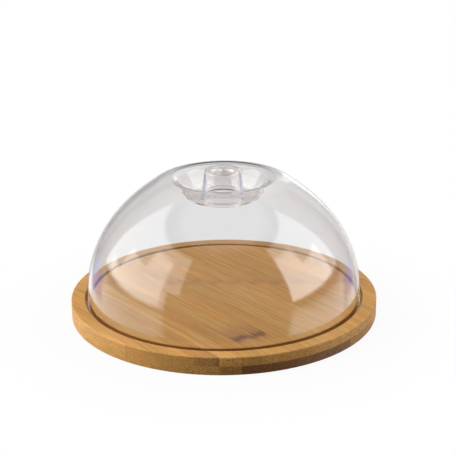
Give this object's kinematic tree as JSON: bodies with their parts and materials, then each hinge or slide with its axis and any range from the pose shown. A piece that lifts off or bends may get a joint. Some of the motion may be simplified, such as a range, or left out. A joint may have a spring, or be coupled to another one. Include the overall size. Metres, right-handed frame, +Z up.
{
  "type": "covered serving board",
  "caption": "Round bamboo board with a clear lift-off dome, whose rim stands in a groove in the board and whose grip is a hollow knob in a recess.",
  "frame": {"origin": "on the table, under the centre of the board", "axes": "+Z up along the axis that board and dome are turned about, +X along the grain of the staves, +Y across them"},
  "size_m": [0.3, 0.3, 0.1437],
  "materials": {
    "clear_plastic": "clear moulded plastic, polished, colourless",
    "bamboo_golden": "natural bamboo, fine sanded, thin oil",
    "bamboo_pale": "light natural bamboo, fine sanded, thin oil",
    "bamboo_amber": "warmer bamboo, fine sanded, thin oil",
    "bamboo_smoked": "steamed dark bamboo, fine sanded, thin oil"
  },
  "bodies": {
    "board": {"lower_stave_01": "bamboo_golden", "lower_stave_02": "bamboo_golden", "lower_stave_03": "bamboo_golden", "lower_stave_04": "bamboo_golden", "lower_stave_05": "bamboo_amber", "lower_stave_06": "bamboo_smoked", "lower_stave_07": "bamboo_smoked", "lower_stave_08": "bamboo_smoked", "lower_stave_09": "bamboo_smoked", "lower_stave_10": "bamboo_smoked", "lower_stave_11": "bamboo_smoked", "lower_stave_12": "bamboo_smoked", "lower_stave_13": "bamboo_amber", "lower_stave_14": "bamboo_amber", "lower_stave_15": "bamboo_amber", "lower_stave_16": "bamboo_golden", "lower_stave_17": "bamboo_golden", "lower_stave_18": "bamboo_golden", "lower_stave_19": "bamboo_golden", "lower_stave_20": "bamboo_golden", "upper_stave_01": "bamboo_pale", "upper_stave_02": "bamboo_golden", "upper_stave_03": "bamboo_golden", "upper_stave_04": "bamboo_golden", "upper_stave_05": "bamboo_pale", "upper_stave_06": "bamboo_golden", "upper_stave_07": "bamboo_pale", "upper_stave_08": "bamboo_golden", "upper_stave_09": "bamboo_golden", "upper_stave_10": "bamboo_pale", "upper_stave_11": "bamboo_pale", "upper_stave_12": "bamboo_pale", "upper_stave_13": "bamboo_golden", "upper_stave_14": "bamboo_golden", "upper_stave_15": "bamboo_golden", "upper_stave_16": "bamboo_golden", "upper_stave_17": "bamboo_pale", "upper_stave_18": "bamboo_golden", "upper_stave_19": "bamboo_pale", "upper_stave_20": "bamboo_golden"},
    "dome": {"clear_dome": "clear_plastic"}
  },
  "joints": [
    {"name": "lid_lift", "type": "slide", "parent": "board", "child": "dome", "axis": [0, 0, 1], "range_m": [0, 0.12]}
  ]
}
